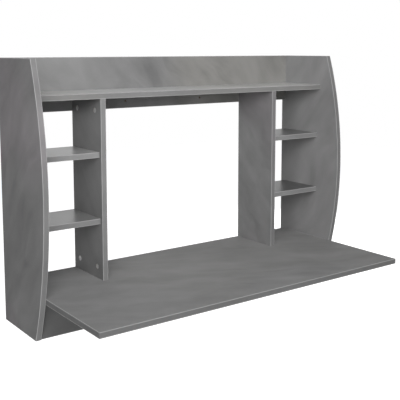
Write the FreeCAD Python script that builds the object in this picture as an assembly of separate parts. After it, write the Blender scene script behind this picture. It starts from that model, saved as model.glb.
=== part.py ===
import FreeCAD, Part
import os

# A wall desk of melamine board. X runs along the wall, Y = 0 is the wall and the room is on
# the -Y side. Heights are set out from the foot of the side panels. At the end every piece
# is lowered so that the row of holes in the upper wall rail lies on the origin's level.

V = FreeCAD.Vector
EAST = V(1, 0, 0)
WEST = V(-1, 0, 0)
WALLWARD = V(0, 1, 0)
ROOMWARD = V(0, -1, 0)
UP = V(0, 0, 1)
DOWN = V(0, 0, -1)

# Overall sizes
overall_width = 1100.0
overall_height = 765.0
desk_reach = 542.0            # from the wall to the desktop's front edge
board = 16.0                  # thickness of every board
band = 0.8                    # thickness of the edge bands
band_round = 0.4              # rounding of a band's long outer edges

# Side panels: the front edge is one arc through three points
panel_reach_foot = 210.5
panel_reach_middle = 281.5
panel_reach_top = 221.5
panel_middle_share = 0.5      # of the height, where the arc's middle point lies

# Levels of the boards, each to its upper face
desk_level = 125.0
lower_shelf_level = 305.5
upper_shelf_level = 498.0
top_shelf_drop = 99.0         # from the side panels' top to the top shelf
upper_rail_height = 160.0     # down from the side panels' top

# Bays and shelves
bay_width = 204.5             # clear width between a side panel and its divider
divider_reach = 193.0         # from the wall to the front of the dividers and the top shelf
shelf_setback = 12.0          # small shelves stand back from the dividers' front
apron_setback = 3.0           # apron stands back from the foot of the side panels

# Wall holes in both rails, four in a row
wall_hole_radius = 3.0
wall_hole_count = 4
wall_hole_inset = 102.0       # from a side panel to the first hole, at mid-bay
upper_hole_rise = 22.0        # above the upper rail's lower edge
lower_hole_share = 0.5        # of the lower rail's height

# Cam fittings
cam_radius = 7.5
cam_depth = 12.5
cam_setback = 34.0            # from the board's end to the cam's centre
cam_fit = 0.2                 # round the cam in its pocket
cam_slot_length = 9.0
cam_slot_width = 2.2
cam_slot_depth = 2.2
bolt_thread_radius = 2.5
bolt_thread_length = 11.0
bolt_collar_radius = 3.6
bolt_collar_length = 4.0
bolt_shank_radius = 2.8
bolt_neck_radius = 1.8
bolt_neck_length = 4.0
bolt_head_radius = 3.0
bolt_head_length = 4.0
bolt_fit = 0.4                # round the bolt's collar and head
thread_fit = 0.1              # round a thread or a dowel in its bore
bore_end_gap = 0.5            # beyond the end of a bolt or a dowel

# Dowels
dowel_radius = 4.0
dowel_in_edge = 20.0
dowel_in_face = 10.0
dowel_chamfer = 0.8

# Screws through the back of the upper rail
rail_screw_count = 4
rail_screw_end_share = 0.12   # of the clear width, from a side panel to the first screw
rail_screw_length = 40.0
rail_screw_radius = 2.5
rail_screw_shank_radius = 3.5
rail_screw_shank_length = 13.0
rail_screw_head_radius = 5.0
rail_screw_head_length = 3.0
rail_screw_fit = 0.15

# Angle brackets between the lower rail and the desktop
bracket_count = 4
bracket_spacing = 250.0
bracket_leg = 36.0
bracket_width = 20.0
bracket_plate = 2.0
bracket_hole_share = 0.6      # of the leg, from the corner to the screw
bracket_screw_radius = 1.9
bracket_screw_length = 15.0   # below the head
bracket_head_radius = 3.8
bracket_head_length = 2.2
bracket_hole_fit = 0.3

# Places of the fittings, as shares of the depth or height of the board that holds them
divider_cam_shares = (0.19, 0.8)
divider_dowel_shares = (0.5,)
top_shelf_cam_shares = (0.22, 0.76)
top_shelf_dowel_shares = (0.5,)
desk_cam_shares = (0.2, 0.65)         # of the depth that lies between the side panels
desk_dowel_shares = (0.4, 0.88)
small_shelf_cam_shares = (0.2, 0.78)
rail_cam_shares = (0.2, 0.8)
apron_end_cam_shares = (0.24, 0.76)
apron_top_cam_shares = (0.17, 0.5, 0.83)

overrun = 2.0                 # how far a cutter runs past the face it opens

# Derived planes and levels
half_width = overall_width / 2
inner = half_width - board                    # side panels' inner faces
back = -board                                 # back of every board but the panels and rails
divider_outer = inner - bay_width             # divider's face towards its bay
divider_inner = divider_outer - board
top_shelf_level = overall_height - top_shelf_drop
top_shelf_underside = top_shelf_level - board
upper_rail_foot = overall_height - upper_rail_height
desk_underside = desk_level - board
shelf_reach = divider_reach - shelf_setback
apron_front = apron_setback - panel_reach_foot
origin_level = upper_rail_foot + upper_hole_rise

boards = {}       # name to the board's solid
bands = {}        # name to the list of its edge bands
cutters = {}      # name to the list of solids to cut from the board and its bands
fittings = {}     # node name to the list of its separate solids


def block(x, y, z):
    """A box between low and high values along each axis."""
    return Part.makeBox(x[1] - x[0], y[1] - y[0], z[1] - z[0], V(x[0], y[0], z[0]))


def eased(strip, outward):
    """An edge band with the long edges of its outer face rounded."""
    face = max(strip.Faces, key=lambda each: each.CenterOfMass.dot(outward))
    long_edges = [edge for edge in face.Edges if edge.Length > 2 * board]
    return strip.makeFillet(band_round, long_edges)


def add_board(name, x, y, z, banded):
    """Stores a board whose banded edges are split off as strips. The first one runs full length."""
    sides = {
        "front": (ROOMWARD, block(x, (y[0], y[0] + band), z)),
        "back": (WALLWARD, block(x, (y[1] - band, y[1]), z)),
        "left": (WEST, block((x[0], x[0] + band), y, z)),
        "right": (EAST, block((x[1] - band, x[1]), y, z)),
        "bottom": (DOWN, block(x, y, (z[0], z[0] + band))),
        "top": (UP, block(x, y, (z[1] - band, z[1]))),
    }
    core = block(x, y, z)
    strips = []
    for side in banded:
        outward, slab = sides[side]
        strips.append(eased(core.common(slab), outward))
        core = core.cut(slab)
    boards[name] = core
    bands[name] = strips
    cutters[name] = []


def add_side_panel(name, x):
    """Stores a side panel, whose bowed front edge, top and foot are banded."""
    low, high = x
    foot = V(low, -panel_reach_foot, 0)
    middle = V(low, -panel_reach_middle, overall_height * panel_middle_share)
    top = V(low, -panel_reach_top, overall_height)
    bow = Part.Arc(foot, middle, top).toShape()
    outline = Part.Wire([
        bow,
        Part.makeLine(top, V(low, 0, overall_height)),
        Part.makeLine(V(low, 0, overall_height), V(low, 0, 0)),
        Part.makeLine(V(low, 0, 0), foot),
    ])
    blank = Part.Face(outline).extrude(V(high - low, 0, 0))
    within_bow = Part.makeCylinder(bow.Curve.Radius - band, high - low, bow.Curve.Center, EAST)
    y = (-panel_reach_middle - overrun, 0)
    foot_slab = block(x, y, (0, band))
    top_slab = block(x, y, (overall_height - band, overall_height))
    behind_bow = blank.common(within_bow)
    boards[name] = behind_bow.cut(foot_slab).cut(top_slab)
    bands[name] = [
        eased(blank.cut(within_bow).Solids[0], ROOMWARD),
        eased(behind_bow.common(foot_slab).Solids[0], DOWN),
        eased(behind_bow.common(top_slab).Solids[0], UP),
    ]
    cutters[name] = []


def rod(radius, start, end):
    """A round bar along local X."""
    return Part.makeCylinder(radius, end - start, V(start, 0, 0), EAST)


def turned(steps, start):
    """A turned piece along local X, from (radius, length) steps."""
    x = start
    pieces = []
    for radius, length in steps:
        pieces.append(rod(radius, x, x + length))
        x += length
    return pieces[0].fuse(pieces[1:]).removeSplitter().Solids[0]


def cam_shape():
    """A cam on its side of the joint: bolt hole on local X, cross slot on local +Z."""
    floor = board / 2 - cam_depth
    cam = Part.makeCylinder(cam_radius, cam_depth, V(-cam_setback, 0, floor))
    tunnel_start = -cam_setback - bolt_head_length / 2 - bolt_fit
    tunnel = rod(bolt_head_radius + bolt_fit, tunnel_start, 0)
    slot_low = board / 2 - cam_slot_depth
    half_length = cam_slot_length / 2
    half_wide = cam_slot_width / 2
    z = (slot_low, board / 2 + overrun)
    along = block((-cam_setback - half_length, -cam_setback + half_length), (-half_wide, half_wide), z)
    across = block((-cam_setback - half_wide, -cam_setback + half_wide), (-half_length, half_length), z)
    return cam.cut([tunnel, along, across])


def bolt_shape():
    """The bolt that a cam draws in: head in the cam, thread in the other board."""
    start = -cam_setback - bolt_head_length / 2
    shank = -start - bolt_head_length - bolt_neck_length - bolt_collar_length
    return turned([
        (bolt_head_radius, bolt_head_length),
        (bolt_neck_radius, bolt_neck_length),
        (bolt_shank_radius, shank),
        (bolt_collar_radius, bolt_collar_length),
        (bolt_thread_radius, bolt_thread_length),
    ], start)


def dowel_shape():
    """A wooden dowel, chamfered at both ends."""
    dowel = rod(dowel_radius, -dowel_in_edge, dowel_in_face)
    rims = [edge for edge in dowel.Edges if edge.Closed]
    return dowel.makeChamfer(dowel_chamfer, rims)


def placed(shape, at, into, face):
    """A copy with its local X along into, its local Z along face and its origin at a point."""
    copy = shape.copy()
    copy.Placement = FreeCAD.Placement(at, FreeCAD.Rotation(into, face.cross(into), face, "XZY"))
    return copy


cam_pocket = Part.makeCylinder(
    cam_radius + cam_fit, cam_depth + overrun, V(-cam_setback, 0, board / 2 - cam_depth))
cam_edge_bore = rod(bolt_collar_radius + bolt_fit, -cam_setback, overrun)
bolt_face_bore = rod(bolt_thread_radius + thread_fit, -overrun, bolt_thread_length + bore_end_gap)
dowel_edge_bore = rod(dowel_radius + thread_fit, -dowel_in_edge - bore_end_gap, overrun)
dowel_face_bore = rod(dowel_radius + thread_fit, -overrun, dowel_in_face + bore_end_gap)
cam = cam_shape()
bolt = bolt_shape()
dowel = dowel_shape()


def join_with_cam(group, holder, mate, at, into, face):
    """A cam in the holder's face and its bolt in the mate. at lies where the two boards meet."""
    fittings.setdefault("cam_locks_" + group, []).append(placed(cam, at, into, face))
    fittings.setdefault("cam_bolts_" + group, []).append(placed(bolt, at, into, face))
    cutters[holder].append(placed(cam_pocket, at, into, face))
    cutters[holder].append(placed(cam_edge_bore, at, into, face))
    cutters[mate].append(placed(bolt_face_bore, at, into, face))


def join_with_dowel(group, holder, mate, at, into, face):
    """A dowel between the holder's end and the mate's face."""
    fittings.setdefault("dowels_" + group, []).append(placed(dowel, at, into, face))
    cutters[holder].append(placed(dowel_edge_bore, at, into, face))
    cutters[mate].append(placed(dowel_face_bore, at, into, face))


def along_depth(reach, shares):
    """Places from the back of the inner boards towards the room, as shares of their depth."""
    return [back - (reach + back) * share for share in shares]


def spread(count, spacing):
    """Places in a row about the middle."""
    return [(index - (count - 1) / 2) * spacing for index in range(count)]


# Side panels
side_panels = {-1: "side_panel_left", 1: "side_panel_right"}
add_side_panel(side_panels[-1], (-half_width, -inner))
add_side_panel(side_panels[1], (inner, half_width))

# Boards that run from side panel to side panel
clear = (-inner, inner)
add_board("upper_wall_rail", clear, (back, 0), (upper_rail_foot, overall_height), ("bottom", "top"))
add_board("lower_wall_rail", clear, (back, 0), (0, desk_underside), ("bottom",))
add_board("top_shelf", clear, (-divider_reach, back), (top_shelf_underside, top_shelf_level), ("front",))
add_board("desktop", clear, (-desk_reach, back), (desk_level - board, desk_level),
          ("front", "left", "right", "back"))
add_board("front_apron", clear, (apron_front, apron_front + board), (0, desk_underside), ("bottom",))

# Dividers and the small shelves of their bays
dividers = {-1: "divider_left", 1: "divider_right"}
bay_name = {-1: "left", 1: "right"}
small_shelf_levels = {"lower": lower_shelf_level, "upper": upper_shelf_level}
for side in (-1, 1):
    x = sorted((side * divider_inner, side * divider_outer))
    add_board(dividers[side], x, (-divider_reach, back), (desk_level, top_shelf_underside),
              ("front", "back"))
    bay = sorted((side * divider_outer, side * inner))
    for place, level in small_shelf_levels.items():
        add_board("shelf_" + bay_name[side] + "_" + place, bay, (-shelf_reach, back),
                  (level - board, level), ("front", "back"))

# Joints of the long boards with the side panels
top_shelf_middle = top_shelf_level - board / 2
desk_middle = desk_level - board / 2
apron_middle = apron_front + board / 2
for side in (-1, 1):
    panel = side_panels[side]
    end = side * inner
    outward = V(side, 0, 0)
    for y in along_depth(divider_reach, top_shelf_cam_shares):
        join_with_cam("top_shelf", "top_shelf", panel, V(end, y, top_shelf_middle), outward, DOWN)
    for y in along_depth(divider_reach, top_shelf_dowel_shares):
        join_with_dowel("top_shelf", "top_shelf", panel, V(end, y, top_shelf_middle), outward, DOWN)
    for y in along_depth(panel_reach_foot, desk_cam_shares):
        join_with_cam("desktop", "desktop", panel, V(end, y, desk_middle), outward, DOWN)
    for y in along_depth(panel_reach_foot, desk_dowel_shares):
        join_with_dowel("desktop", "desktop", panel, V(end, y, desk_middle), outward, DOWN)
    for share in rail_cam_shares:
        upper = V(end, back / 2, upper_rail_foot + upper_rail_height * share)
        lower = V(end, back / 2, desk_underside * share)
        join_with_cam("wall_rails", "upper_wall_rail", panel, upper, outward, WALLWARD)
        join_with_cam("wall_rails", "lower_wall_rail", panel, lower, outward, WALLWARD)
    for share in apron_end_cam_shares:
        at = V(end, apron_middle, desk_underside * share)
        join_with_cam("apron", "front_apron", panel, at, outward, WALLWARD)

# The apron is drawn up against the desktop
for share in apron_top_cam_shares:
    at = V(inner * (2 * share - 1), apron_middle, desk_underside)
    join_with_cam("apron", "front_apron", "desktop", at, UP, WALLWARD)

# Dividers between the desktop and the top shelf, cams on the side of the bay
for side in (-1, 1):
    name = dividers[side]
    x = side * (divider_inner + divider_outer) / 2
    outward = V(side, 0, 0)
    ends = (("desktop", desk_level, DOWN), ("top_shelf", top_shelf_underside, UP))
    for mate, level, into in ends:
        for y in along_depth(divider_reach, divider_cam_shares):
            join_with_cam("dividers", name, mate, V(x, y, level), into, outward)
        for y in along_depth(divider_reach, divider_dowel_shares):
            join_with_dowel("dividers", name, mate, V(x, y, level), into, outward)

# Small shelves between a side panel and a divider, cams on their undersides
for side in (-1, 1):
    for place, level in small_shelf_levels.items():
        name = "shelf_" + bay_name[side] + "_" + place
        for y in along_depth(shelf_reach, small_shelf_cam_shares):
            at_panel = V(side * inner, y, level - board / 2)
            at_divider = V(side * divider_outer, y, level - board / 2)
            join_with_cam("small_shelves", name, side_panels[side], at_panel, V(side, 0, 0), DOWN)
            join_with_cam("small_shelves", name, dividers[side], at_divider, V(-side, 0, 0), DOWN)

# Holes for the screws into the wall
wall_hole = rod(wall_hole_radius, -overrun, board + overrun)
wall_hole_spacing = 2 * (inner - wall_hole_inset) / (wall_hole_count - 1)
wall_hole_levels = {
    "upper_wall_rail": origin_level,
    "lower_wall_rail": desk_underside * lower_hole_share,
}
for name, level in wall_hole_levels.items():
    for x in spread(wall_hole_count, wall_hole_spacing):
        cutters[name].append(placed(wall_hole, V(x, 0, level), ROOMWARD, UP))

# Screws through the back of the upper rail, heads flush with its back
rail_screw = turned([
    (rail_screw_head_radius, rail_screw_head_length),
    (rail_screw_shank_radius, rail_screw_shank_length),
    (rail_screw_radius, rail_screw_length - rail_screw_head_length - rail_screw_shank_length),
], 0)
head_sink = rod(rail_screw_head_radius + rail_screw_fit, -overrun, rail_screw_head_length)
shank_bore = rod(rail_screw_shank_radius + rail_screw_fit, -overrun, board + overrun)
pilot_bore = rod(rail_screw_radius + thread_fit, board - overrun, rail_screw_length + bore_end_gap)
screw_span = 2 * inner * (1 - 2 * rail_screw_end_share)
screw_places = []
for x in spread(rail_screw_count, screw_span / (rail_screw_count - 1)):
    screw_places.append(("top_shelf", V(x, 0, top_shelf_middle)))
for side in (-1, 1):
    x = side * (divider_inner + divider_outer) / 2
    screw_places.append((dividers[side], V(x, 0, origin_level)))
fittings["rail_screws"] = []
for mate, at in screw_places:
    fittings["rail_screws"].append(placed(rail_screw, at, ROOMWARD, UP))
    cutters["upper_wall_rail"].append(placed(head_sink, at, ROOMWARD, UP))
    cutters["upper_wall_rail"].append(placed(shank_bore, at, ROOMWARD, UP))
    cutters[mate].append(placed(pilot_bore, at, ROOMWARD, UP))

# Angle brackets: one leg under the desktop, the other on the front of the lower rail
half_bracket = bracket_width / 2
bracket_hole = bracket_leg * bracket_hole_share
desk_leg = block((-half_bracket, half_bracket), (-bracket_leg, 0), (-bracket_plate, 0))
rail_leg = block((-half_bracket, half_bracket), (-bracket_plate, 0), (-bracket_leg, 0))
bracket_bore = rod(bracket_screw_radius + bracket_hole_fit, -overrun, bracket_plate + overrun)
bracket = desk_leg.fuse(rail_leg).removeSplitter().Solids[0].cut([
    placed(bracket_bore, V(0, -bracket_hole, -bracket_plate), UP, EAST),
    placed(bracket_bore, V(0, -bracket_plate, -bracket_hole), WALLWARD, EAST),
])
bracket_screw = turned([
    (bracket_head_radius, bracket_head_length),
    (bracket_screw_radius, bracket_screw_length),
], -bracket_head_length)
bracket_pilot = rod(bracket_screw_radius + thread_fit, 0, bracket_screw_length + bore_end_gap)
fittings["angle_brackets"] = []
fittings["bracket_screws"] = []
for x in spread(bracket_count, bracket_spacing):
    corner = V(x, back, desk_underside)
    fittings["angle_brackets"].append(placed(bracket, corner, EAST, UP))
    under_desk = corner + V(0, -bracket_hole, -bracket_plate)
    on_rail = corner + V(0, -bracket_plate, -bracket_hole)
    fittings["bracket_screws"].append(placed(bracket_screw, under_desk, UP, EAST))
    fittings["bracket_screws"].append(placed(bracket_screw, on_rail, WALLWARD, EAST))
    cutters["desktop"].append(placed(bracket_pilot, under_desk, UP, EAST))
    cutters["lower_wall_rail"].append(placed(bracket_pilot, on_rail, WALLWARD, EAST))


def write(node, solids):
    """Writes one node, lowered so that the upper wall holes lie on the origin's level."""
    group = Part.makeCompound(solids) if len(solids) > 1 else solids[0]
    lowered = group.translated(V(0, 0, -origin_level))
    lowered.exportStep("parts/" + node + ".step")


os.makedirs("parts", exist_ok=True)
for name, solid in boards.items():
    drilled = solid.cut(cutters[name])
    write(name, drilled.Solids)
    write("edge_bands_" + name, Part.makeCompound(bands[name]).cut(cutters[name]).Solids)
for node, solids in fittings.items():
    write(node, solids)
print("nodes", 2 * len(boards) + len(fittings))
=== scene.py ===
import bmesh
import bpy
import math
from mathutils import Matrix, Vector


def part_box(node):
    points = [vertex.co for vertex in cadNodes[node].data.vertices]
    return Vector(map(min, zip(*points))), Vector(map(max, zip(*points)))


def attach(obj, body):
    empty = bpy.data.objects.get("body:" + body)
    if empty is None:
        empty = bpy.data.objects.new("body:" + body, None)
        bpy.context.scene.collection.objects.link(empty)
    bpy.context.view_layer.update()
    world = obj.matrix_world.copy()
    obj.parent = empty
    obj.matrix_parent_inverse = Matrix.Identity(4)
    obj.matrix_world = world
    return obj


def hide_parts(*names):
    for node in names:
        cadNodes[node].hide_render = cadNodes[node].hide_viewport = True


# A wall desk of grey slate-look board. X runs along the wall, the wall is at y = 0 and the
# room on its -Y side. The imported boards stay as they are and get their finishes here.

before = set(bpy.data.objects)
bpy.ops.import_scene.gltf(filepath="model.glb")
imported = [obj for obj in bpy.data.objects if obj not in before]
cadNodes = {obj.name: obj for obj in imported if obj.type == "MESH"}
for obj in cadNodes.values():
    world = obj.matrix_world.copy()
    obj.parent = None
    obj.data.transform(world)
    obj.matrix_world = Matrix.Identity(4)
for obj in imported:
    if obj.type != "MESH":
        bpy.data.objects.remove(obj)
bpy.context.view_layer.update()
print("frame:", len(cadNodes), "nodes")

boardNames = [name[len("edge_bands_"):] for name in sorted(cadNodes) if name.startswith("edge_bands_")]


# Camera

cameraPlace = {
    "azimuth": -36.26,                    # degrees, 0 looks straight at the wall
    "pitch": 6.935,                       # degrees downwards
    "position": (-1.3546, -2.0620, 0.1642),
    "lens": 67.88,                        # millimetres
    "sensor": 36.0,
    "shift": -0.15,                       # of the frame's width
}


def addCamera(values):
    data = bpy.data.cameras.new("camera")
    data.lens = values["lens"]
    data.sensor_width = values["sensor"]
    data.shift_y = values["shift"]
    camera = bpy.data.objects.new("camera", data)
    camera.location = values["position"]
    camera.rotation_euler = (math.radians(90 - values["pitch"]), 0, math.radians(values["azimuth"]))
    bpy.context.scene.collection.objects.link(camera)
    bpy.context.scene.camera = camera


addCamera(cameraPlace)
bpy.context.scene.view_settings.view_transform = "Standard"
print("camera placed")


# Shader helpers

def feed(tree, socket, value):
    if isinstance(value, bpy.types.NodeSocket):
        tree.links.new(value, socket)
    else:
        socket.default_value = value


def addNode(tree, kind, inputs=None, **settings):
    node = tree.nodes.new(kind)
    for name, value in settings.items():
        setattr(node, name, value)
    for name, value in (inputs or {}).items():
        feed(tree, node.inputs[name], value)
    return node


def calc(tree, operation, *values, clamp=False):
    inputs = {index: value for index, value in enumerate(values)}
    return addNode(tree, "ShaderNodeMath", inputs, operation=operation, use_clamp=clamp).outputs[0]


def vectorCalc(tree, operation, *values):
    inputs = {index: value for index, value in enumerate(values)}
    node = addNode(tree, "ShaderNodeVectorMath", inputs, operation=operation)
    return node.outputs["Value" if operation in ("DOT_PRODUCT", "LENGTH") else "Vector"]


noiseMiddle = 0.5      # what a noise texture gives on average


def noise(tree, place, look, output="Fac"):
    return addNode(tree, "ShaderNodeTexNoise", {
        "Vector": place,
        "Scale": look["scale"],
        "Detail": look["detail"],
        "Roughness": look["roughness"],
    }).outputs[output]


def fromMiddle(tree, value, weight):
    return calc(tree, "MULTIPLY", calc(tree, "SUBTRACT", value, noiseMiddle), weight)


def between(tree, value, low, high, first=0.0, last=1.0):
    # a soft step from first to last while the value goes from low to high
    inputs = {"Value": value, "From Min": low, "From Max": high, "To Min": first, "To Max": last}
    return addNode(tree, "ShaderNodeMapRange", inputs, interpolation_type="SMOOTHSTEP").outputs["Result"]


def mixColor(tree, factor, first, second, blend="MIX"):
    node = addNode(tree, "ShaderNodeMix", data_type="RGBA", blend_type=blend)
    sockets = [s for s in node.inputs if s.enabled]
    for socket, value in zip(sockets, (factor, first, second)):
        feed(tree, socket, value)
    return [s for s in node.outputs if s.enabled][0]


def newGroup(name, inputs, outputs):
    group = bpy.data.node_groups.new(name, "ShaderNodeTree")
    for label, (kind, value) in inputs.items():
        socket = group.interface.new_socket(label, in_out="INPUT", socket_type="NodeSocket" + kind)
        socket.default_value = value
    for label, kind in outputs.items():
        group.interface.new_socket(label, in_out="OUTPUT", socket_type="NodeSocket" + kind)
    return group, addNode(group, "NodeGroupInput").outputs, addNode(group, "NodeGroupOutput").inputs


def useGroup(tree, group, inputs):
    return addNode(tree, "ShaderNodeGroup", inputs, node_tree=group).outputs


def newMaterial(name):
    material = bpy.data.materials.new(name)
    material.use_nodes = True
    tree = material.node_tree
    return material, tree, tree.nodes["Principled BSDF"]


# Slate look: soft clouds, slanting streaks and a few faint dark smears

slatePattern = {
    "drift": {"scale": 4.0, "detail": 2.0, "roughness": 0.5},
    "driftReach": 0.15,               # metres between the furthest bends to either side
    "streakStretch": 3.4,             # how many times longer than wide the streaks are
    "banks": {"scale": 2.0, "detail": 1.0, "roughness": 0.5, "weight": 0.5},
    "clouds": {"scale": 6.0, "detail": 4.0, "roughness": 0.55, "weight": 0.5},
    "streaks": {"scale": 4.6, "detail": 4.0, "roughness": 0.5, "weight": 0.75},
    "grain": {"scale": 420.0, "detail": 2.0, "roughness": 0.6, "weight": 0.1},
    "smears": {"scale": 7.0, "detail": 0.0, "roughness": 0.5, "edge": (0.3, 0.43), "weight": -0.09},
    "smearPatches": {"scale": 7.0, "detail": 1.0, "roughness": 0.5, "edge": (0.46, 0.6)},
    "pink": {"scale": 2.2, "detail": 1.0, "roughness": 0.5, "edge": (0.45, 0.58)},
    "pinkTint": (1.03, 0.985, 1.015, 1),
    "warm": {"scale": 1.7, "detail": 1.0, "roughness": 0.5, "edge": (0.45, 0.58)},
    "warmTint": (1.025, 1.005, 0.95, 1),
    "streakRoughness": 0.12,          # how much the streaks vary the roughness
}


def makeSlateGroup(look):
    group, given, result = newGroup(
        "slateLook",
        {
            "Place": ("Vector", (0, 0, 0)),
            "Turn": ("Float", 0.9),           # radians from the board's length to the streaks
            "Tone": ("Float", 0.155),
            "Contrast": ("Float", 1.0),
            "Pink": ("Float", 0.5),
            "Warm": ("Float", 0.2),
        },
        {"Color": "Color", "Roughness": "Float", "Height": "Float"},
    )
    drift = noise(group, given["Place"], look["drift"], "Color")
    bend = vectorCalc(group, "SUBTRACT", drift, 3 * (noiseMiddle,))
    bend = vectorCalc(group, "MULTIPLY", bend, 3 * (look["driftReach"],))
    place = vectorCalc(group, "ADD", given["Place"], bend)
    turned = addNode(group, "ShaderNodeVectorRotate", {"Vector": place, "Angle": given["Turn"]},
                     rotation_type="Z_AXIS").outputs[0]
    drawn = vectorCalc(group, "MULTIPLY", turned, (1.0, look["streakStretch"], look["streakStretch"]))
    smears = between(group, noise(group, drawn, look["smears"]), *look["smears"]["edge"], 1.0, 0.0)
    patches = between(group, noise(group, place, look["smearPatches"]), *look["smearPatches"]["edge"])
    soft = calc(group, "MULTIPLY", calc(group, "MULTIPLY", smears, patches), look["smears"]["weight"])
    places = {"banks": place, "clouds": place, "streaks": drawn, "grain": given["Place"]}
    layers = {name: noise(group, places[name], look[name]) for name in places}
    for name, layer in layers.items():
        soft = calc(group, "ADD", soft, fromMiddle(group, layer, look[name]["weight"]))
    swing = calc(group, "ADD", calc(group, "MULTIPLY", soft, given["Contrast"]), 1.0)
    tone = calc(group, "MULTIPLY", given["Tone"], swing)
    grey = addNode(group, "ShaderNodeCombineColor", {0: tone, 1: tone, 2: tone}).outputs[0]
    tint = (1.0, 1.0, 1.0, 1)
    for name, strength in (("pink", given["Pink"]), ("warm", given["Warm"])):
        patch = between(group, noise(group, place, look[name]), *look[name]["edge"])
        tint = mixColor(group, calc(group, "MULTIPLY", patch, strength), tint, look[name + "Tint"])
    group.links.new(mixColor(group, 1.0, grey, tint, "MULTIPLY"), result["Color"])
    group.links.new(fromMiddle(group, layers["streaks"], look["streakRoughness"]), result["Roughness"])
    group.links.new(layers["grain"], result["Height"])
    return group


# Chipboard: what shows where a board is cut or drilled and has no edge band

chipboard = {
    "flakeScale": 620.0,
    "flakeShare": 0.65,               # of the flakes in the mix, and fine dust is the rest
    "dust": {"scale": 900.0, "detail": 2.0, "roughness": 0.5},
    "dark": (0.15, 0.105, 0.065, 1),
    "light": (0.48, 0.38, 0.27, 1),
}


def makeChipGroup(look):
    group, given, result = newGroup(
        "chipboardCore", {"Place": ("Vector", (0, 0, 0))}, {"Color": "Color"})
    flakes = addNode(group, "ShaderNodeTexVoronoi", {"Vector": given["Place"], "Scale": look["flakeScale"]})
    shade = addNode(group, "ShaderNodeSeparateColor", {0: flakes.outputs["Color"]}).outputs[0]
    dust = noise(group, given["Place"], look["dust"])
    mixed = calc(group, "ADD", calc(group, "MULTIPLY", shade, look["flakeShare"]),
                 calc(group, "MULTIPLY", dust, 1 - look["flakeShare"]))
    group.links.new(mixColor(group, mixed, look["dark"], look["light"]), result["Color"])
    return group


# Painted highlight on the arrises: how near a point of a board lies to the corners round its two faces, 1 at
# the corner

boxInputs = {
    "Place": ("Vector", (0, 0, 0)),
    "Middle": ("Vector", (0, 0, 0)),
    "Half Size": ("Vector", (1, 1, 1)),
    "Width": ("Float", 0.002),
}


def insideBox(group, given):
    # how far a point lies in from the sides of the board's box, along each axis
    off = vectorCalc(group, "ABSOLUTE", vectorCalc(group, "SUBTRACT", given["Place"], given["Middle"]))
    return vectorCalc(group, "SUBTRACT", given["Half Size"], off)


def paintedHighlightMask(group, given, toFace, toOutline):
    near = calc(group, "MAXIMUM", toFace, toOutline)
    return between(group, near, 0.0, given["Width"], 1.0, 0.0)


def makePaintedHighlightGroup():
    group, given, result = newGroup(
        "arrisOfBoard", {**boxInputs, "Across": ("Vector", (0, 0, 1))}, {"Mask": "Float"})
    inside = insideBox(group, given)
    toFace = vectorCalc(group, "DOT_PRODUCT", inside, given["Across"])
    # a metre more across the thickness leaves only the board's outline in the minimum
    outline = vectorCalc(group, "ADD", inside, given["Across"])
    parts = addNode(group, "ShaderNodeSeparateXYZ", {0: outline}).outputs
    toOutline = calc(group, "MINIMUM", calc(group, "MINIMUM", parts[0], parts[1]), parts[2])
    group.links.new(paintedHighlightMask(group, given, toFace, toOutline), result["Mask"])
    return group


def makeBowPaintedHighlightGroup():
    group, given, result = newGroup(
        "arrisOfBowedPanel",
        {**boxInputs, "Bow Centre": ("Vector", (0, 0, 0)), "Bow Radius": ("Float", 1.15)},
        {"Mask": "Float"},
    )
    parts = addNode(group, "ShaderNodeSeparateXYZ", {0: insideBox(group, given)}).outputs
    spoke = vectorCalc(group, "SUBTRACT", given["Place"], given["Bow Centre"])
    spoke = vectorCalc(group, "MULTIPLY", spoke, (0, 1, 1))      # the bow is the same all along X
    toBow = calc(group, "SUBTRACT", given["Bow Radius"], vectorCalc(group, "LENGTH", spoke))
    toOutline = calc(group, "MINIMUM", calc(group, "MINIMUM", parts[1], toBow), parts[2])
    group.links.new(paintedHighlightMask(group, given, parts[0], toOutline), result["Mask"])
    return group


slateGroup = makeSlateGroup(slatePattern)
chipGroup = makeChipGroup(chipboard)
paintedHighlightGroup = makePaintedHighlightGroup()
bowPaintedHighlightGroup = makeBowPaintedHighlightGroup()
print("shader groups made")


# Boards and their edge bands

slate = {
    "roughness": 0.6,             # of a board with no gloss
    "glossPull": 0.4,             # how much a board's gloss takes off its roughness
    "rawRoughness": 0.4,          # what bare chipboard adds to it
    "rawFacing": 0.5,             # faces with a lower cosine to the board's thickness are bare
    "bump": 0.05,
    "bumpDistance": 0.0005,
    # the painted highlight along the boards' corners: its width, its lighter tone and its share
    "arrisWidth": 0.0026,
    "arrisTone": 0.42,
    "arrisShare": 0.64,           # how much of that tone shows on the corner itself
    "edgeClouds": 0.6,            # strength of the clouds on the edge bands
    "startAside": 0.7,            # how far across a board its pattern starts, for each metre along it
}
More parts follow.
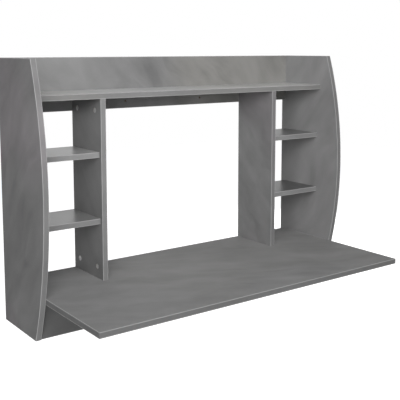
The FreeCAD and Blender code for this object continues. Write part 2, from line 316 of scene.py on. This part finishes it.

# each board: the axis of its thickness and the one along which its ends meet other boards, the
# slant of its streaks in degrees, where its pattern starts, the tones of its faces and of its edge
# bands, how glossy it is, how strong its clouds are and how pink and warm its patches. All boards
# are one laminate, so their tones differ from board to board as painted light and shade: lighter on
# the top shelf, the upper left shelf and the right panel, and darker on the shelves in the right bay,
# on the apron under the desktop and on the desktop's edge band. The starts of the patterns were
# picked so that their light and dark patches partly stand for light and shade as well.
boardLooks = {
    "side_panel_left": {
        "across": "X", "joined": "", "slant": 38, "start": 73.87,
        "tone": 0.152, "edge": 0.168, "gloss": 0.1, "clouds": 1.1, "pink": 1.0, "warm": 0.0},
    "side_panel_right": {
        "across": "X", "joined": "", "slant": 38, "start": 39.01,
        "tone": 0.232, "edge": 0.145, "gloss": 0.25, "clouds": 0.7, "pink": 0.2, "warm": 0.0},
    "divider_left": {
        "across": "X", "joined": "Z", "slant": -42, "start": 54.78,
        "tone": 0.158, "edge": 0.197, "gloss": 0.25, "clouds": 0.75, "pink": 0.0, "warm": 0.0},
    "divider_right": {
        "across": "X", "joined": "Z", "slant": -42, "start": 123.67,
        "tone": 0.205, "edge": 0.166, "gloss": 0.25, "clouds": 0.9, "pink": 0.9, "warm": 0.0},
    "upper_wall_rail": {
        "across": "Y", "joined": "X", "slant": -45, "start": 9.96,
        "tone": 0.209, "edge": 0.205, "gloss": 0.25, "clouds": 0.9, "pink": 0.0, "warm": 0.75},
    "lower_wall_rail": {
        "across": "Y", "joined": "X", "slant": -45, "start": 12.0,
        "tone": 0.185, "edge": 0.185, "gloss": 0.25, "clouds": 0.8, "pink": 0.0, "warm": 0.2},
    "front_apron": {
        "across": "Y", "joined": "X", "slant": -20, "start": 106.24,
        "tone": 0.111, "edge": 0.107, "gloss": 0.25, "clouds": 0.8, "pink": 0.0, "warm": 0.0},
    "top_shelf": {
        "across": "Z", "joined": "X", "slant": 25, "start": 5.0,
        "tone": 0.375, "edge": 0.172, "gloss": 0.5, "clouds": 0.8, "pink": 0.0, "warm": 0.4},
    "desktop": {
        "across": "Z", "joined": "", "slant": 25, "start": 139.44,
        "tone": 0.215, "edge": 0.138, "gloss": 0.02, "clouds": 0.65, "pink": 0.0, "warm": 0.15},
    "shelf_left_upper": {
        "across": "Z", "joined": "X", "slant": 50, "start": 162.68,
        "tone": 0.262, "edge": 0.212, "gloss": 0.65, "clouds": 0.8, "pink": 0.0, "warm": 0.0},
    "shelf_left_lower": {
        "across": "Z", "joined": "X", "slant": 50, "start": 9.13,
        "tone": 0.162, "edge": 0.177, "gloss": 0.65, "clouds": 0.8, "pink": 0.0, "warm": 0.0},
    "shelf_right_upper": {
        "across": "Z", "joined": "X", "slant": 50, "start": 30.71,
        "tone": 0.108, "edge": 0.180, "gloss": 0.6, "clouds": 0.8, "pink": 0.0, "warm": 0.0},
    "shelf_right_lower": {
        "across": "Z", "joined": "X", "slant": 50, "start": 46.48,
        "tone": 0.068, "edge": 0.189, "gloss": 0.6, "clouds": 0.8, "pink": 0.0, "warm": 0.0},
}

# a quarter turn that lays each board's faces in the slate pattern's own XY plane
quarterTurn = math.pi / 2
layDown = {"X": (0, quarterTurn, 0), "Y": (quarterTurn, 0, 0), "Z": (0, 0, 0)}
axisVector = {"X": (1, 0, 0), "Y": (0, 1, 0), "Z": (0, 0, 1)}

# metres from the wall to the front of the side panels
panelBow = {"foot": 0.2105, "middle": 0.2815, "top": 0.2215}


def bowOf(low, high):
    # centre and radius of the circle through the panel's three reaches
    levels = {"foot": low.z, "middle": (low.z + high.z) / 2, "top": high.z}
    points = [(-panelBow[part], level) for part, level in levels.items()]
    (ay, az), (by, bz), (cy, cz) = points
    turn = 2 * (ay * (bz - cz) + by * (cz - az) + cy * (az - bz))
    a, b, c = (y * y + z * z for y, z in points)
    centre = Vector((0, (a * (bz - cz) + b * (cz - az) + c * (az - bz)) / turn,
                     (a * (cy - by) + b * (ay - cy) + c * (by - ay)) / turn))
    return centre, (Vector((0, ay, az)) - centre).length


def wholeBox(name):
    boxes = (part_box(name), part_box("edge_bands_" + name))
    low = Vector([min(box[0][axis] for box in boxes) for axis in range(3)])
    high = Vector([max(box[1][axis] for box in boxes) for axis in range(3)])
    return low, high


def makeBoardMaterial(name, isBand):
    look = boardLooks[name]
    material, tree, shader = newMaterial(("slateBand_" if isBand else "slateBoard_") + name)
    place = addNode(tree, "ShaderNodeTexCoord").outputs["Object"]
    start = look["start"]
    laid = addNode(tree, "ShaderNodeMapping", {
        "Vector": place,
        "Location": (start, start * slate["startAside"], 0),
        "Rotation": layDown[look["across"]],
    }).outputs[0]
    # the board's tone is its own colour with painted light and shade in it, set for each board
    stone = useGroup(tree, slateGroup, {
        "Place": laid,
        "Turn": math.radians(look["slant"]),
        "Tone": look["edge" if isBand else "tone"],
        "Contrast": look["clouds"] * (slate["edgeClouds"] if isBand else 1.0),
        "Pink": look["pink"],
        "Warm": look["warm"],
    })
    low, high = wholeBox(name)
    half = (high - low) / 2
    if look["joined"]:
        # ends a metre further out, so that a joint gets no painted highlight
        half += Vector(axisVector[look["joined"]])
    box = {"Place": place, "Middle": (low + high) / 2, "Half Size": half, "Width": slate["arrisWidth"]}
    if name.startswith("side_panel"):
        centre, radius = bowOf(low, high)
        bow = {"Bow Centre": centre, "Bow Radius": radius}
        paintedHighlight = useGroup(tree, bowPaintedHighlightGroup, {**box, **bow})["Mask"]
    else:
        paintedHighlight = useGroup(tree, paintedHighlightGroup, {**box, "Across": axisVector[look["across"]]})["Mask"]
    # a lighter tone near the corners: a painted highlight where the light catches the board's edges
    share = calc(tree, "MULTIPLY", paintedHighlight, slate["arrisShare"])
    edge = slate["arrisTone"]
    color = mixColor(tree, share, stone["Color"], (edge, edge, edge, 1))
    rough = calc(tree, "SUBTRACT", calc(tree, "ADD", stone["Roughness"], slate["roughness"]),
                 look["gloss"] * slate["glossPull"])
    if not isBand:
        # bare chipboard wherever the board is cut across its thickness
        chip = useGroup(tree, chipGroup, {"Place": laid})
        facing = addNode(tree, "ShaderNodeTexCoord").outputs["Normal"]
        along = vectorCalc(tree, "DOT_PRODUCT", facing, axisVector[look["across"]])
        raw = calc(tree, "LESS_THAN", calc(tree, "ABSOLUTE", along), slate["rawFacing"])
        color = mixColor(tree, raw, color, chip["Color"])
        rough = calc(tree, "ADD", rough, calc(tree, "MULTIPLY", raw, slate["rawRoughness"]), clamp=True)
    bump = addNode(tree, "ShaderNodeBump", {
        "Height": stone["Height"], "Strength": slate["bump"], "Distance": slate["bumpDistance"]})
    tree.links.new(color, shader.inputs["Base Color"])
    tree.links.new(rough, shader.inputs["Roughness"])
    tree.links.new(bump.outputs[0], shader.inputs["Normal"])
    shader.inputs["Specular IOR Level"].default_value = look["gloss"]
    return material


for boardName in boardNames:
    cadNodes[boardName].material_slots[0].material = makeBoardMaterial(boardName, False)
    cadNodes["edge_bands_" + boardName].material_slots[0].material = makeBoardMaterial(boardName, True)
print("boards finished:", len(boardNames))


# Metal and dowels

hardware = {
    "zinc": {"color": (0.6, 0.6, 0.6), "roughness": 0.55},
    "steel": {"color": (0.62, 0.62, 0.60), "roughness": 0.3},
    "beech": {"light": (0.62, 0.42, 0.22, 1), "dark": (0.42, 0.25, 0.11, 1), "roughness": 0.7},
}

metalSpecks = {
    "pattern": {"scale": 260.0, "detail": 4.0, "roughness": 0.6},
    "toneEdge": (0.35, 0.65),
    "darkest": 0.6,                   # tone of the darkest specks, as a share of the metal's own
    "dullEdge": (0.2, 0.8),
    "dullest": 0.15,                  # what the dullest specks add to the metal's roughness
}

beechFibre = {
    "pattern": {"scale": 180.0, "detail": 3.0, "roughness": 0.5},
    "stretch": 8.0,                   # how many times longer than wide the fibres are
}


def makeMetal(name, values, specks):
    material, tree, shader = newMaterial(name)
    place = addNode(tree, "ShaderNodeTexCoord").outputs["Object"]
    pattern = noise(tree, place, specks["pattern"])
    dark = [specks["darkest"] * part for part in values["color"]]
    color = mixColor(tree, between(tree, pattern, *specks["toneEdge"]), (*dark, 1), (*values["color"], 1))
    rough = between(tree, pattern, *specks["dullEdge"],
                    values["roughness"] + specks["dullest"], values["roughness"])
    tree.links.new(color, shader.inputs["Base Color"])
    tree.links.new(rough, shader.inputs["Roughness"])
    shader.inputs["Metallic"].default_value = 1.0
    return material


def makeBeech(name, values, fibre):
    material, tree, shader = newMaterial(name)
    place = addNode(tree, "ShaderNodeTexCoord").outputs["Object"]
    drawn = vectorCalc(tree, "MULTIPLY", place, (1.0, fibre["stretch"], fibre["stretch"]))
    color = mixColor(tree, noise(tree, drawn, fibre["pattern"]), values["dark"], values["light"])
    tree.links.new(color, shader.inputs["Base Color"])
    shader.inputs["Roughness"].default_value = values["roughness"]
    return material


zinc = makeMetal("dullZinc", hardware["zinc"], metalSpecks)
steel = makeMetal("platedSteel", hardware["steel"], metalSpecks)
beech = makeBeech("beechDowel", hardware["beech"], beechFibre)
for name, node in cadNodes.items():
    if name.startswith("cam_locks_"):
        node.material_slots[0].material = zinc
    elif name.startswith("dowels_"):
        node.material_slots[0].material = beech
    elif not name.startswith("edge_bands_") and name not in boardNames:
        node.material_slots[0].material = steel
print("hardware finished")


# Places of the fittings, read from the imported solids

meshLimits = {
    "sameCorner": 1e-6,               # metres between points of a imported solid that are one
    "sameEnd": 1e-5,                  # metres between points on one end of a screw, along it
    "samePoint": 1e-7,                # metres between points of a finished piece that are one
    "sharpAngle": 34.0,               # degrees from which an edge is shaded sharp
}


def solidsOf(name):
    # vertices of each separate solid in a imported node
    mesh = bmesh.new()
    mesh.from_mesh(cadNodes[name].data)
    bmesh.ops.remove_doubles(mesh, verts=mesh.verts, dist=meshLimits["sameCorner"])
    solids, seen = [], set()
    for start in mesh.verts:
        if start in seen:
            continue
        seen.add(start)
        solid, queue = [], [start]
        while queue:
            vertex = queue.pop()
            solid.append(vertex.co.copy())
            for edge in vertex.link_edges:
                other = edge.other_vert(vertex)
                if other not in seen:
                    seen.add(other)
                    queue.append(other)
        solids.append(solid)
    mesh.free()
    return solids


def middleAndSize(points):
    low = Vector([min(point[axis] for point in points) for axis in range(3)])
    high = Vector([max(point[axis] for point in points) for axis in range(3)])
    return (low + high) / 2, high - low


def unit(axis, sign):
    way = Vector((0, 0, 0))
    way[axis] = 1 if sign > 0 else -1
    return way


def camPlaces(group):
    # a cam's open face lies on its shortest side, and its bolt comes in from the nearest bolt
    bolts = [middleAndSize(solid)[0] for solid in solidsOf("cam_bolts_" + group)]
    places = []
    for solid in solidsOf("cam_locks_" + group):
        middle, size = middleAndSize(solid)
        bolt = min(bolts, key=lambda each: (each - middle).length)
        off = bolt - middle
        depthAxis = min(range(3), key=lambda axis: size[axis])
        boltAxis = max(range(3), key=lambda axis: abs(off[axis]))
        facing = unit(depthAxis, -off[depthAxis])
        places.append((middle + facing * size[depthAxis] / 2, facing, unit(boltAxis, off[boltAxis])))
    return places


def screwPlaces(name):
    # a screw's head is at the wider end of its longest side
    places = []
    for solid in solidsOf(name):
        middle, size = middleAndSize(solid)
        axis = max(range(3), key=lambda each: size[each])
        spread = {}
        for sign in (-1, 1):
            end = middle[axis] + sign * size[axis] / 2
            around = [point - middle for point in solid if abs(point[axis] - end) < meshLimits["sameEnd"]]
            spread[sign] = max((each - unit(axis, 1) * each[axis]).length for each in around)
        facing = unit(axis, spread[1] - spread[-1])
        places.append((middle + facing * size[axis] / 2, facing, unit((axis + 1) % 3, 1)))
    return places


# Geometry Nodes for the fittings

def newGeometryTree(name, sizes):
    tree = bpy.data.node_groups.new(name, "GeometryNodeTree")
    tree.interface.new_socket("Geometry", in_out="INPUT", socket_type="NodeSocketGeometry")
    for label, value in sizes.items():
        kind = "NodeSocketInt" if isinstance(value, int) else "NodeSocketFloat"
        tree.interface.new_socket(label, in_out="INPUT", socket_type=kind).default_value = value
    tree.interface.new_socket("Geometry", in_out="OUTPUT", socket_type="NodeSocketGeometry")
    return tree, addNode(tree, "NodeGroupInput").outputs, addNode(tree, "NodeGroupOutput").inputs


def byIndex(tree, index, values):
    # one value for each point of a line, first to last
    node = tree.nodes.new("GeometryNodeIndexSwitch")
    node.data_type = "FLOAT"
    while len(node.index_switch_items) < len(values):
        node.index_switch_items.new()
    tree.links.new(index, node.inputs["Index"])
    for socket, value in zip(list(node.inputs)[1:], values):
        feed(tree, socket, value)
    return node.outputs[0]


def turnedShape(tree, levels, radii, count, sides):
    # a turned piece on local Z, from a level and a radius at each point of its axis
    line = addNode(tree, "GeometryNodeCurvePrimitiveLine").outputs[0]
    dots = addNode(tree, "GeometryNodeResampleCurve", {"Curve": line, "Count": count}).outputs[0]
    place = addNode(tree, "ShaderNodeCombineXYZ", {"Z": levels}).outputs[0]
    axis = addNode(tree, "GeometryNodeSetPosition", {"Geometry": dots, "Position": place}).outputs[0]
    ring = addNode(tree, "GeometryNodeCurvePrimitiveCircle", {"Resolution": sides, "Radius": 1.0}).outputs[0]
    return addNode(tree, "GeometryNodeCurveToMesh", {
        "Curve": axis, "Profile Curve": ring, "Scale": radii, "Fill Caps": True}).outputs[0]


def moved(tree, geometry, offset, turn=(0, 0, 0)):
    return addNode(tree, "GeometryNodeTransform", {
        "Geometry": geometry, "Translation": offset, "Rotation": turn}).outputs[0]


def crossCutter(tree, length, width, depth):
    # two bars that cut a cross recess downwards from z = 0
    height = calc(tree, "MULTIPLY", depth, 2.0)
    bars = []
    for sizes in ((length, width), (width, length)):
        size = addNode(tree, "ShaderNodeCombineXYZ", {0: sizes[0], 1: sizes[1], 2: height}).outputs[0]
        bars.append(addNode(tree, "GeometryNodeMeshCube", {"Size": size}).outputs[0])
    return bars


def carved(tree, body, cutters):
    node = addNode(tree, "GeometryNodeMeshBoolean", {"Mesh 1": body}, operation="DIFFERENCE", solver="EXACT")
    for cutter in cutters:
        tree.links.new(cutter, node.inputs["Mesh 2"])
    return node.outputs[0]


def setOnPlaces(tree, given, result, shape, material):
    # one copy on each point: local Z along facing, local X along toward
    facing, toward = (addNode(tree, "GeometryNodeInputNamedAttribute", {"Name": name},
                              data_type="FLOAT_VECTOR").outputs[0] for name in ("facing", "toward"))
    turn = addNode(tree, "FunctionNodeAlignRotationToVector", {"Vector": facing}, axis="Z").outputs[0]
    turn = addNode(tree, "FunctionNodeAlignRotationToVector", {"Rotation": turn, "Vector": toward},
                   axis="X", pivot_axis="Z").outputs[0]
    copies = addNode(tree, "GeometryNodeInstanceOnPoints", {
        "Points": given["Geometry"], "Instance": shape, "Rotation": turn}).outputs[0]
    real = addNode(tree, "GeometryNodeRealizeInstances", {"Geometry": copies}).outputs[0]
    done = addNode(tree, "GeometryNodeSetMaterial", {"Geometry": real, "Material": material}).outputs[0]
    tree.links.new(done, result["Geometry"])


def placePieces(name, places, tree, sizes, material):
    # the tree runs on a mesh of bare points, and its result is kept as a plain mesh
    mesh = bpy.data.meshes.new(name)
    mesh.from_pydata([place for place, facing, toward in places], [], [])
    for label, column in (("facing", 1), ("toward", 2)):
        values = mesh.attributes.new(label, "FLOAT_VECTOR", "POINT").data
        for slot, place in zip(values, places):
            slot.vector = place[column]
    piece = bpy.data.objects.new(name, mesh)
    bpy.context.scene.collection.objects.link(piece)
    modifier = piece.modifiers.new("shape", "NODES")
    modifier.node_group = tree
    for item in tree.interface.items_tree:
        if item.name in sizes:
            modifier[item.identifier] = sizes[item.name]
    made = bpy.data.meshes.new_from_object(piece.evaluated_get(bpy.context.evaluated_depsgraph_get()))
    piece.modifiers.clear()
    shape = bmesh.new()
    shape.from_mesh(made)
    bmesh.ops.remove_doubles(shape, verts=shape.verts, dist=meshLimits["samePoint"])
    bmesh.ops.recalc_face_normals(shape, faces=shape.faces)
    shape.to_mesh(made)
    shape.free()
    for label in ("facing", "toward"):
        if label in made.attributes:
            made.attributes.remove(made.attributes[label])
    made.materials.clear()
    made.materials.append(material)
    made.shade_smooth()
    made.set_sharp_from_angle(angle=math.radians(meshLimits["sharpAngle"]))
    piece.data = made
    bpy.data.meshes.remove(mesh)
    made.name = name
    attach(piece, "root")
    return piece


# Cam locks: sizes in metres, from the middle of the open face

camLock = {
    "Radius": 0.0075,
    "Depth": 0.0125,
    "Rim": 0.0004,
    "Slot Length": 0.009,
    "Slot Width": 0.0022,
    "Slot Depth": 0.0022,
    "Tunnel Radius": 0.0034,
    "Tunnel Level": 0.008,
    "Tunnel Start": 0.0024,       # behind the cam's centre
    "Arrow Size": 0.0011,
    "Arrow Depth": 0.0004,
    "Arrow Back": 1.35,           # from the rim to the arrow's middle, in arrow sizes
    "Sides": 40,
    "Tunnel Sides": 24,
    "Arrow Sides": 3,
}


def makeCamTree(sizes, material):
    tree, given, result = newGeometryTree("camLockShape", sizes)
    low = calc(tree, "MULTIPLY", given["Depth"], -1.0)
    rim = calc(tree, "MULTIPLY", given["Rim"], -1.0)
    index = addNode(tree, "GeometryNodeInputIndex").outputs[0]
    narrow = calc(tree, "SUBTRACT", given["Radius"], given["Rim"])
    levels = [low, rim, 0.0]
    radii = [given["Radius"], given["Radius"], narrow]
    body = turnedShape(tree, byIndex(tree, index, levels), byIndex(tree, index, radii),
                       len(levels), given["Sides"])
    cross = crossCutter(tree, given["Slot Length"], given["Slot Width"], given["Slot Depth"])
    tunnel = addNode(tree, "GeometryNodeMeshCylinder", {
        "Vertices": given["Tunnel Sides"],
        "Radius": given["Tunnel Radius"],
        "Depth": calc(tree, "MULTIPLY", given["Radius"], 2.0),
    }).outputs[0]
    sink = calc(tree, "MULTIPLY", given["Tunnel Level"], -1.0)
    ahead = calc(tree, "SUBTRACT", given["Radius"], given["Tunnel Start"])
    tunnelPlace = addNode(tree, "ShaderNodeCombineXYZ", {0: ahead, 2: sink}).outputs[0]
    tunnel = moved(tree, tunnel, tunnelPlace, (0, quarterTurn, 0))
    # a small arrow sunk in the face points to the bolt
    arrow = addNode(tree, "GeometryNodeMeshCylinder", {
        "Vertices": given["Arrow Sides"],
        "Radius": given["Arrow Size"],
        "Depth": calc(tree, "MULTIPLY", given["Arrow Depth"], 2.0),
    }).outputs[0]
    back = calc(tree, "MULTIPLY", given["Arrow Size"], given["Arrow Back"])
    reach = calc(tree, "SUBTRACT", given["Radius"], back)
    arrow = moved(tree, arrow, addNode(tree, "ShaderNodeCombineXYZ", {0: reach}).outputs[0])
    setOnPlaces(tree, given, result, carved(tree, body, cross + [tunnel, arrow]), material)
    return tree


camTree = makeCamTree(camLock, zinc)
camGroups = [name[len("cam_locks_"):] for name in sorted(cadNodes) if name.startswith("cam_locks_")]
for group in camGroups:
    cams = placePieces("camDrums_" + group, camPlaces(group), camTree, camLock, zinc)
    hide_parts("cam_locks_" + group)
print("cam locks made for", len(camGroups), "groups")


# Screws: sizes in metres, from the top of the head

railScrew = {
    "Head Radius": 0.005,
    "Head Height": 0.003,
    "Head Edge": 0.0004,
    "Recess Length": 0.0056,
    "Recess Width": 0.0013,
    "Recess Depth": 0.002,
    "Shank Radius": 0.0035,
    "Shank Length": 0.013,
    "Thread Radius": 0.0025,
    "Thread Depth": 0.0005,
    "Thread Length": 0.024,
    "Pitch": 0.0024,
    "Edge Down": 0.35,            # the middle of the head's edge, down from its top
    "Edge In": 0.3,               # and in from its side, both as shares of the edge
    "Step": 0.00002,              # down which the head's underside draws in to the shank
    "Taper": 6.0,                 # the last sixth of the thread narrows
    "Tip": 0.1,                   # share of the radius that the tip keeps
    "Head Sides": 32,
    "Thread Sides": 20,
}
bracketScrew = {
    "Head Radius": 0.0038,
    "Head Height": 0.0022,
    "Head Edge": 0.0014,
    "Recess Length": 0.0042,
    "Recess Width": 0.001,
    "Recess Depth": 0.0014,
    "Shank Radius": 0.0015,
    "Shank Length": 0.002,
    "Thread Radius": 0.0019,
    "Thread Depth": 0.0005,
    "Thread Length": 0.013,
    "Pitch": 0.0016,
    "Edge Down": 0.35,
    "Edge In": 0.3,
    "Step": 0.00002,
    "Taper": 6.0,
    "Tip": 0.1,
    "Head Sides": 32,
    "Thread Sides": 20,
}


def makeScrewTree(sizes, material):
    tree, given, result = newGeometryTree("screwShape", sizes)
    index = addNode(tree, "GeometryNodeInputIndex").outputs[0]
    edge, headRadius, shankRadius = given["Head Edge"], given["Head Radius"], given["Shank Radius"]
    headLow = calc(tree, "MULTIPLY", given["Head Height"], -1.0)
    neckTop = calc(tree, "SUBTRACT", headLow, given["Step"])
    neckLow = calc(tree, "SUBTRACT", headLow, given["Shank Length"])
    edgeLow = calc(tree, "MULTIPLY", edge, -1.0)
    edgeLevel = calc(tree, "MULTIPLY", edgeLow, given["Edge Down"])
    edgeRadius = calc(tree, "SUBTRACT", headRadius, calc(tree, "MULTIPLY", edge, given["Edge In"]))
    topRadius = calc(tree, "SUBTRACT", headRadius, edge)
    levels = [0.0, edgeLevel, edgeLow, headLow, neckTop, neckLow]
    radii = [topRadius, edgeRadius, headRadius, headRadius, shankRadius, shankRadius]
    head = turnedShape(tree, byIndex(tree, index, levels), byIndex(tree, index, radii),
                       len(levels), given["Head Sides"])
    recess = crossCutter(tree, given["Recess Length"], given["Recess Width"], given["Recess Depth"])
    head = carved(tree, head, recess)
    # thread: every other ring stands proud, and the last rings taper to the point
    rings = calc(tree, "MULTIPLY", calc(tree, "DIVIDE", given["Thread Length"], given["Pitch"]), 2.0)
    count = addNode(tree, "FunctionNodeFloatToInt", {0: rings}, rounding_mode="ROUND").outputs[0]
    share = calc(tree, "DIVIDE", index, calc(tree, "SUBTRACT", count, 1.0))
    start = calc(tree, "ADD", neckLow, given["Thread Depth"])
    drop = calc(tree, "ADD", given["Thread Length"], given["Thread Depth"])
    level = calc(tree, "SUBTRACT", start, calc(tree, "MULTIPLY", share, drop))
    valley = calc(tree, "MULTIPLY", calc(tree, "MODULO", index, 2.0), given["Thread Depth"])
    taper = calc(tree, "MULTIPLY", calc(tree, "SUBTRACT", 1.0, share), given["Taper"], clamp=True)
    taper = calc(tree, "MULTIPLY", taper, calc(tree, "SUBTRACT", 1.0, given["Tip"]))
    taper = calc(tree, "ADD", taper, given["Tip"])
    radius = calc(tree, "MULTIPLY", calc(tree, "SUBTRACT", given["Thread Radius"], valley), taper)
    thread = turnedShape(tree, level, radius, count, given["Thread Sides"])
    both = tree.nodes.new("GeometryNodeJoinGeometry")
    for part in (head, thread):
        tree.links.new(part, both.inputs[0])
    setOnPlaces(tree, given, result, both.outputs[0], material)
    return tree


screwTree = makeScrewTree(railScrew, steel)
for node, sizes in (("rail_screws", railScrew), ("bracket_screws", bracketScrew)):
    screws = placePieces(node + "_threaded", screwPlaces(node), screwTree, sizes, steel)
    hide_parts(node)
print("screws made")


# Studio

studio = {
    "floorLevel": -1.252,           # the desktop is 750 mm above the floor
    "floorSize": 14.0,
    "floorTone": 0.6,
    "floorWhite": 0.93,             # what the camera sees of the floor besides its light and shadow
    "floorGloss": 0.4,              # the same for reflections
    "groundLight": 0.06,            # light on the object from below
    "skyLight": 0.12,               # and from above, besides the softboxes
    "skyEdge": (-0.3, 0.6),         # sines of the heights between which the two change over
    "target": (0.0, -0.2, -0.2),
}

# each softbox: degrees to the right of straight in front and above level, metres, watts, and
# whether it shows in glossy boards
softboxes = {
    "low": {"turn": -44.0, "rise": 15.0, "distance": 4.4, "size": (2.8, 1.8), "power": 122.0,
            "mirrored": True},
    "high": {"turn": -18.0, "rise": 42.0, "distance": 4.4, "size": (3.2, 3.2), "power": 162.0,
             "mirrored": True},
    "back": {"turn": 125.0, "rise": -4.0, "distance": 4.4, "size": (3.2, 0.9), "power": 48.0,
             "mirrored": False},
}


def wayOf(turn, rise):
    turn, rise = math.radians(turn), math.radians(rise)
    return Vector((math.sin(turn) * math.cos(rise), -math.cos(turn) * math.cos(rise), math.sin(rise)))


def addFloor(values):
    half = values["floorSize"] / 2
    mesh = bpy.data.meshes.new("floor")
    corners = [(-half, -half), (half, -half), (half, half), (-half, half)]
    mesh.from_pydata([(x, y, values["floorLevel"]) for x, y in corners], [], [(0, 1, 2, 3)])
    floor = bpy.data.objects.new("floor", mesh)
    bpy.context.scene.collection.objects.link(floor)
    material, tree, shader = newMaterial("paleFloor")
    tone = values["floorTone"]
    shader.inputs["Base Color"].default_value = (tone, tone, tone, 1)
    shader.inputs["Roughness"].default_value = 1.0
    shader.inputs["Specular IOR Level"].default_value = 0.0
    path = addNode(tree, "ShaderNodeLightPath").outputs
    mirrored = calc(tree, "MAXIMUM", path["Is Glossy Ray"], path["Is Transmission Ray"])
    white = calc(tree, "ADD", calc(tree, "MULTIPLY", path["Is Camera Ray"], values["floorWhite"]),
                 calc(tree, "MULTIPLY", mirrored, values["floorGloss"]))
    glow = addNode(tree, "ShaderNodeEmission", {"Color": (1, 1, 1, 1), "Strength": white}).outputs[0]
    both = addNode(tree, "ShaderNodeAddShader", {0: shader.outputs[0], 1: glow}).outputs[0]
    tree.links.new(both, tree.nodes["Material Output"].inputs["Surface"])
    mesh.materials.append(material)


def addWorld(values):
    world = bpy.data.worlds.new("studio")
    bpy.context.scene.world = world
    world.use_nodes = True
    tree = world.node_tree
    way = addNode(tree, "ShaderNodeTexCoord").outputs["Generated"]
    up = addNode(tree, "ShaderNodeSeparateXYZ", {0: way}).outputs[2]
    level = between(tree, up, *values["skyEdge"], values["groundLight"], values["skyLight"])
    path = addNode(tree, "ShaderNodeLightPath").outputs
    mirrored = calc(tree, "MAXIMUM", path["Is Glossy Ray"], path["Is Transmission Ray"])
    seen = calc(tree, "MAXIMUM", path["Is Camera Ray"], mirrored)
    background = tree.nodes["Background"]
    background.inputs["Color"].default_value = (1, 1, 1, 1)
    tree.links.new(calc(tree, "MAXIMUM", seen, level), background.inputs["Strength"])


def addSoftbox(name, values, target):
    data = bpy.data.lights.new(name, "AREA")
    data.energy = values["power"]
    data.shape = "RECTANGLE"
    data.size, data.size_y = values["size"]
    light = bpy.data.objects.new(name, data)
    away = wayOf(values["turn"], values["rise"])
    light.location = Vector(target) + away * values["distance"]
    light.rotation_euler = (-away).to_track_quat("-Z", "Y").to_euler()
    light.visible_camera = False
    light.visible_glossy = values["mirrored"]
    bpy.context.scene.collection.objects.link(light)


addFloor(studio)
addWorld(studio)
for name, values in softboxes.items():
    addSoftbox(name, values, studio["target"])
print("studio set")
